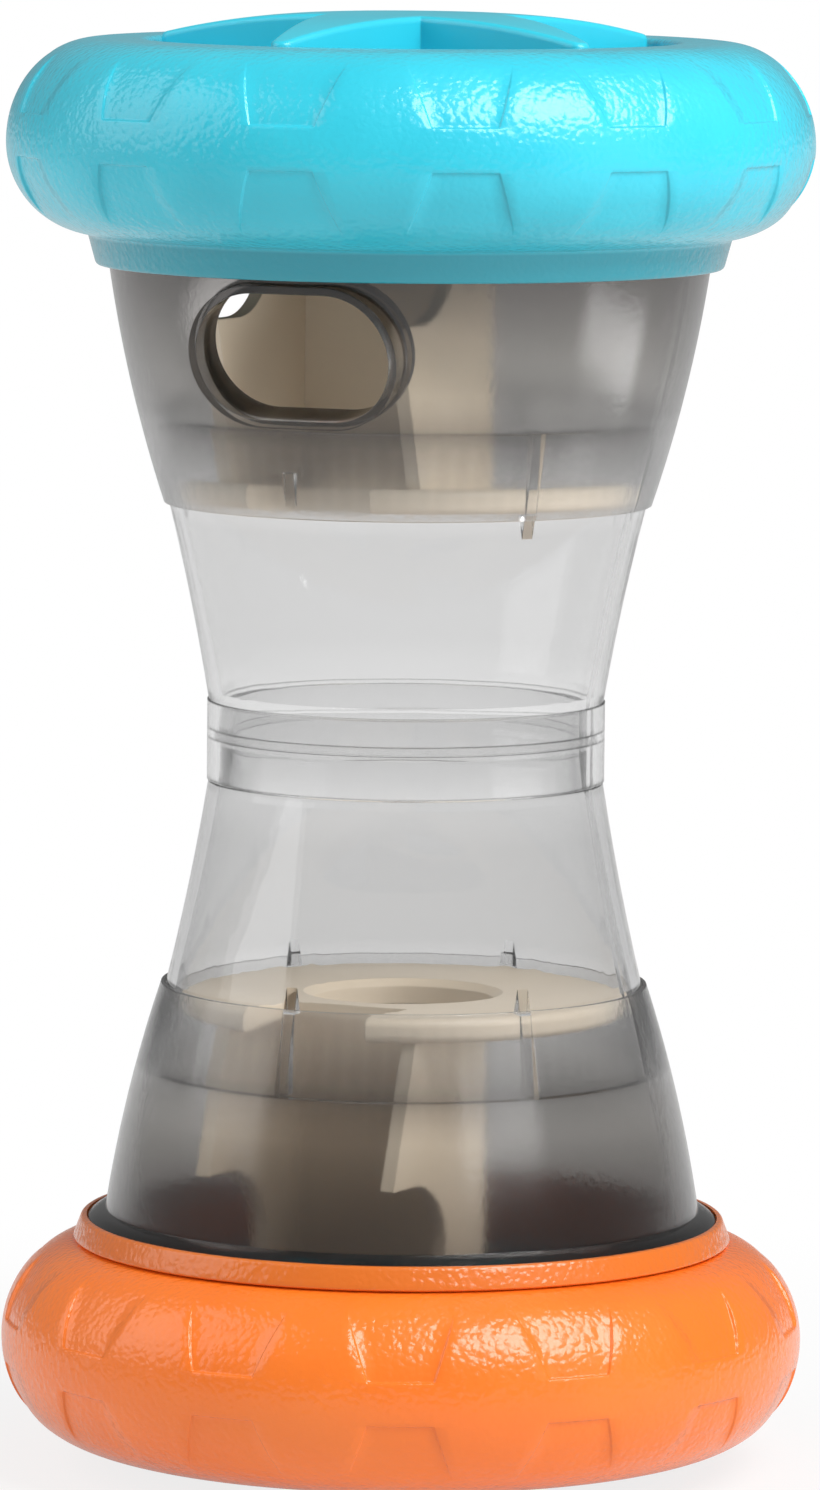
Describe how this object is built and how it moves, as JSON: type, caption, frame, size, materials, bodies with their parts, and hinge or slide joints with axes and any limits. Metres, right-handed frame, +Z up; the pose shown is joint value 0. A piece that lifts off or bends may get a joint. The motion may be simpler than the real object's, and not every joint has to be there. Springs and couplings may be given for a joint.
{
  "type": "dog puzzle feeder",
  "caption": "Hourglass rolling treat feeder with soft tyres at both ends, smoke housings with treat windows over holed maze discs, and a waist that turns and pulls apart",
  "frame": {"origin": "Middle of the lower hub cap's flat face, on the surface that the feeder stands on", "axes": "+Z up along the hourglass axis, -Y out of the upper half's front treat window"},
  "size_m": [0.111, 0.111, 0.201],
  "materials": {
    "clear_shell": "clear moulded polycarbonate",
    "smoke_shell": "smoke grey moulded polycarbonate",
    "cream_plastic": "moulded cream ABS, satin",
    "dark_plastic": "moulded dark grey ABS",
    "blue_plastic": "moulded turquoise ABS",
    "orange_plastic": "moulded orange ABS",
    "blue_rubber": "moulded turquoise thermoplastic rubber with a leathery grain",
    "orange_rubber": "moulded orange thermoplastic rubber with a leathery grain",
    "clear_gasket": "clear silicone"
  },
  "bodies": {
    "lower_half": {"lower_bell": "clear_shell", "lower_housing": "smoke_shell", "lower_maze": "cream_plastic", "lower_end_plate": "dark_plastic", "lower_hub_cap": "orange_plastic", "lower_tyre": "orange_rubber"},
    "neck_ring": {"neck_gasket": "clear_gasket"},
    "upper_half": {"upper_bell": "clear_shell", "upper_housing": "smoke_shell", "upper_maze": "cream_plastic", "upper_end_plate": "dark_plastic", "upper_hub_cap": "blue_plastic", "upper_tyre": "blue_rubber"}
  },
  "joints": [
    {"name": "halves_pull", "type": "slide", "parent": "lower_half", "child": "neck_ring", "axis": [0, 0, 1], "range_m": [0, 0.03]},
    {"name": "halves_turn", "type": "hinge", "parent": "neck_ring", "child": "upper_half", "pos_m": [0, 0, 0.1005], "axis": [0, 0, 1], "continuous": true}
  ]
}
